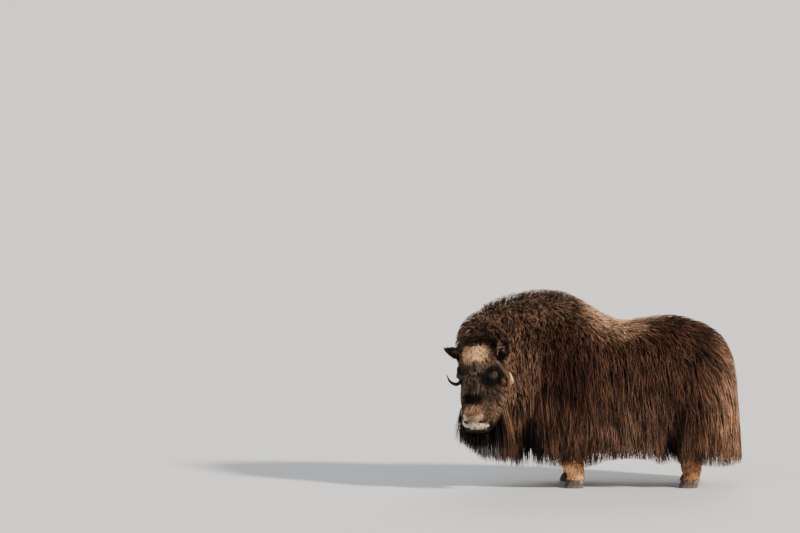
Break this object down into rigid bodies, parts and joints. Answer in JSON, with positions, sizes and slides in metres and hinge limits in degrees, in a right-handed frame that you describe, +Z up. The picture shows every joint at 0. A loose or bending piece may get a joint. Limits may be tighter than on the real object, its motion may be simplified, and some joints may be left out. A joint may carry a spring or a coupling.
{
  "type": "muskox",
  "caption": "Life-size still model of a young muskox cow standing square, head lowered and turned to its left, in a long hanging winter coat.",
  "frame": {"origin": "on the floor, under the middle of the animal's box", "axes": "+X from head to rump, so the body faces -X; +Y to the animal's right side; +Z up"},
  "size_m": [1.7046, 0.7434, 1.1171],
  "materials": {
    "coat": "long dark brown winter hair, tan where it is sun-bleached",
    "stocking": "short tan hair on the lower legs",
    "horn": "satin grey-brown horn, cream at the tips",
    "hoof": "dull dark horn",
    "eye": "wet dark brown"
  },
  "bodies": {
    "root": {"trunk": "coat", "tail": "coat", "neck": "coat", "head": "coat", "ear_left": "coat", "ear_right": "coat", "eye_left": "eye", "eye_right": "eye", "horn_left": "horn", "horn_right": "horn", "leg_front_left": "stocking", "leg_front_right": "stocking", "leg_hind_left": "stocking", "leg_hind_right": "stocking", "hoof_front_left_outer": "hoof", "hoof_front_left_inner": "hoof", "hoof_front_right_outer": "hoof", "hoof_front_right_inner": "hoof", "hoof_hind_left_outer": "hoof", "hoof_hind_left_inner": "hoof", "hoof_hind_right_outer": "hoof", "hoof_hind_right_inner": "hoof"}
  },
  "joints": []
}
